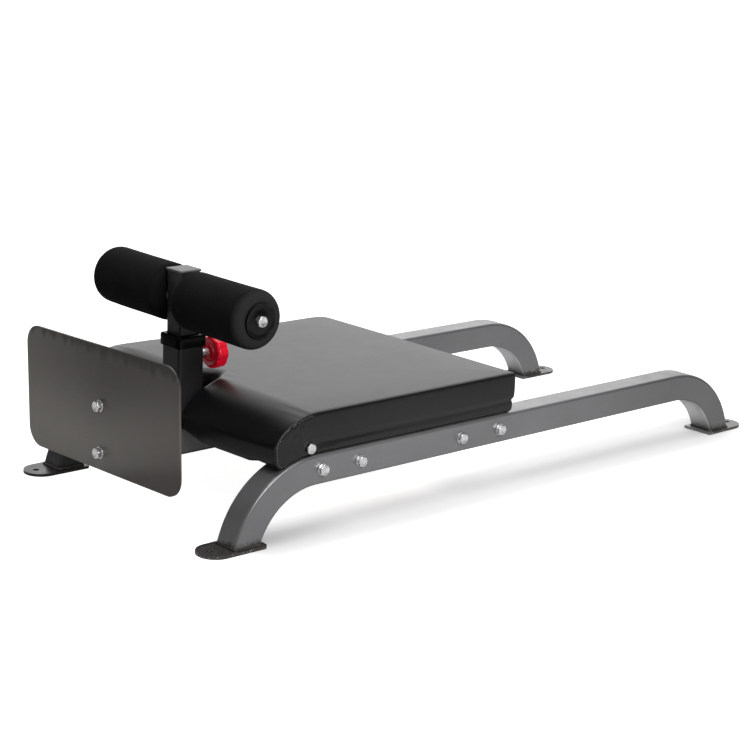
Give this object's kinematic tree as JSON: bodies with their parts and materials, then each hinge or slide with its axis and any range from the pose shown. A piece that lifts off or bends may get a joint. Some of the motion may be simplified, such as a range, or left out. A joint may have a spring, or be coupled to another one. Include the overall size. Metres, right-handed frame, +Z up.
{
  "type": "glute ham developer",
  "caption": "Low floor glute ham developer: bent tube rails, notched thigh pad, foot plate and a pair of foam ankle rollers on a post that adjusts for height",
  "frame": {"origin": "middle of the footprint on the floor", "axes": "+X from the foot plate towards the rails' open end, +Z up, +Y to the user's left"},
  "size_m": [1.337, 0.5718, 0.3935],
  "materials": {
    "frame_paint": "satin powder coat",
    "dark_paint": "satin powder coat",
    "plate_paint": "satin powder coat",
    "zinc": "bright zinc plate",
    "spring_steel": "oiled",
    "pin_steel": "polished",
    "collar_plastic": "gloss",
    "cap_plastic": "matte",
    "disc_plastic": "gloss",
    "core_plastic": "matte",
    "knob_red": "gloss",
    "roller_foam": "closed cell foam, matte",
    "pad_vinyl": "grained vinyl, satin",
    "pad_filling": "open foam",
    "board_wood": "raw plywood"
  },
  "bodies": {
    "frame": {"right_rail": "frame_paint", "left_rail": "frame_paint", "front_right_foot": "frame_paint", "front_left_foot": "frame_paint", "rear_right_foot": "frame_paint", "rear_left_foot": "frame_paint", "front_cross_tube": "frame_paint", "rear_cross_tube": "frame_paint", "cross_flanges": "frame_paint", "spine_tube": "frame_paint", "foot_plate_flange": "frame_paint", "foot_plate": "plate_paint", "foot_plate_bolts": "zinc", "foot_plate_spring_washers": "zinc", "foot_plate_washers": "zinc", "foot_plate_nuts": "zinc", "rail_bolts": "zinc", "rail_washers": "zinc", "rail_inner_washers": "zinc", "rail_nuts": "zinc", "post_sleeve": "dark_paint", "sleeve_collar": "collar_plastic", "lock_barrel": "zinc", "pin_spring": "spring_steel", "pad_board": "board_wood", "pad_foam": "pad_filling", "pad_cover": "pad_vinyl", "pad_bolts": "zinc", "pad_bolt_washers": "zinc", "pad_tee_nuts": "zinc", "pad_side_bolts": "zinc", "pad_side_inserts": "zinc"},
    "lock_pin": {"lock_pin": "pin_steel", "pin_knob": "knob_red"},
    "roller_post": {"inner_post": "dark_paint", "post_cap": "cap_plastic", "roller_axle": "zinc", "axle_end_nuts": "zinc", "roller_end_discs": "disc_plastic", "roller_end_bolts": "zinc"},
    "right_roller": {"right_roller_core": "core_plastic", "right_roller_foam": "roller_foam"},
    "left_roller": {"left_roller_core": "core_plastic", "left_roller_foam": "roller_foam"}
  },
  "joints": [
    {"name": "roller_post_slide", "type": "slide", "parent": "frame", "child": "roller_post", "axis": [0, 0, 1], "range_m": [0, 0.09]},
    {"name": "lock_pin_pull", "type": "slide", "parent": "frame", "child": "lock_pin", "axis": [1, 0, 0], "range_m": [0, 0.008], "stiffness_N_per_m": 1200, "springref_m": -0.008, "deforming": ["pin_spring"]},
    {"name": "right_roller_spin", "type": "hinge", "parent": "roller_post", "child": "right_roller", "pos_m": [-0.4961, 0, 0.344], "axis": [0, 1, 0], "continuous": true},
    {"name": "left_roller_spin", "type": "hinge", "parent": "roller_post", "child": "left_roller", "pos_m": [-0.4961, 0, 0.344], "axis": [0, 1, 0], "continuous": true}
  ]
}
